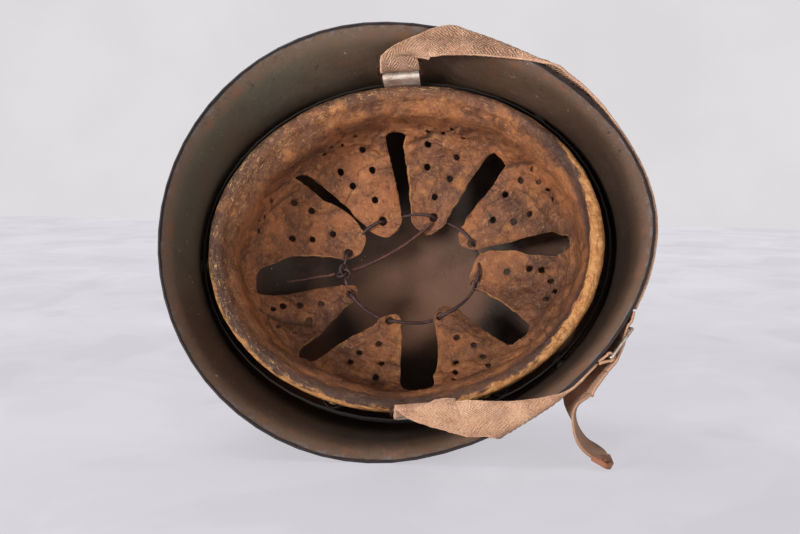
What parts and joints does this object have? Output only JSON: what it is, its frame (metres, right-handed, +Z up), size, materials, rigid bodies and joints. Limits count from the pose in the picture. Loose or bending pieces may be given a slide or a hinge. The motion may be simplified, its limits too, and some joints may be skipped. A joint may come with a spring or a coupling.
{
  "type": "steel helmet",
  "caption": "Flared-brim steel helmet lying on its side, with a sprung, laced leather liner, wire bails and a buckled webbing chinstrap whose free end hangs down.",
  "frame": {"origin": "on the ground under the middle of the object's box, as the helmet lies on its side", "axes": "+Z up; +X along the helmet's length towards its front; the open mouth faces -Y and the crown +Y"},
  "size_m": [0.2882, 0.1996, 0.2508],
  "materials": {
    "shell_steel": "worn dark paint over steel, rust and pale dust",
    "rivet_steel": "worn paint",
    "spacer_steel": "dull",
    "band_paint": "chipped blue-green paint",
    "outer_band_steel": "dull paint with rust",
    "spring_steel": "dull",
    "felt": "grey-brown felt",
    "liner_leather": "dark brown, worn and cracked, ochre at the folded edge",
    "rivet_brass": "dull",
    "lace_leather": "dark purple-brown leather lace",
    "lace_worn": "rust-brown leather lace",
    "zinc": "bright zinc plate",
    "bail_wire": "rusty brown wire",
    "webbing": "tan herringbone cotton webbing",
    "buckle_steel": "light nickel plate",
    "tip_brass": "brown, dull"
  },
  "bodies": {
    "helmet": {"shell": "shell_steel", "rivet_left": "rivet_steel", "rivet_rear": "rivet_steel", "rivet_right": "rivet_steel", "rivet_spacers": "spacer_steel", "outer_band": "outer_band_steel", "inner_band": "band_paint", "leaf_spring_1": "spring_steel", "leaf_spring_2": "spring_steel", "leaf_spring_3": "spring_steel", "leaf_spring_4": "spring_steel", "leaf_spring_5": "spring_steel", "leaf_spring_6": "spring_steel", "leaf_spring_7": "spring_steel", "leaf_spring_8": "spring_steel", "felt_strip": "felt", "leather_liner": "liner_leather", "liner_rivets": "rivet_brass", "lace": "lace_leather", "lace_knot": "lace_leather", "lace_long_end": "lace_worn", "lace_short_end": "lace_worn", "lug_right": "zinc", "lug_left": "zinc", "lug_rivets": "zinc", "strap_long": "webbing", "strap_short": "webbing", "buckle_eye": "webbing"},
    "bail_right": {"bail_right": "bail_wire", "strap_loop_right": "webbing"},
    "bail_left": {"bail_left": "bail_wire", "strap_loop_left": "webbing"},
    "buckle": {"buckle": "buckle_steel", "strap_weave": "webbing"},
    "strap_end": {"strap_tail": "webbing", "strap_tip": "tip_brass", "tip_stud": "tip_brass"}
  },
  "joints": [
    {"name": "bail_right_swing", "type": "hinge", "parent": "helmet", "child": "bail_right", "pos_m": [-0.00723, -0.0145, 0.21972], "axis": [0.9954, 0.0252, 0.0925], "range_deg": [-20, 0]},
    {"name": "bail_left_swing", "type": "hinge", "parent": "helmet", "child": "bail_left", "pos_m": [0.00731, -0.06791, 0.02363], "axis": [0.9954, 0.0252, 0.0925], "range_deg": [-20, 0]},
    {"name": "buckle_swing", "type": "hinge", "parent": "helmet", "child": "buckle", "pos_m": [0.11318, -0.06451, 0.05955], "axis": [-0.3116, 0.9496, -0.0337], "range_deg": [0, 4]},
    {"name": "strap_end_swing", "type": "hinge", "parent": "buckle", "child": "strap_end", "pos_m": [0.11232, -0.06511, 0.05055], "axis": [-0.3116, 0.9496, -0.0337], "range_deg": [-80, 4]}
  ]
}
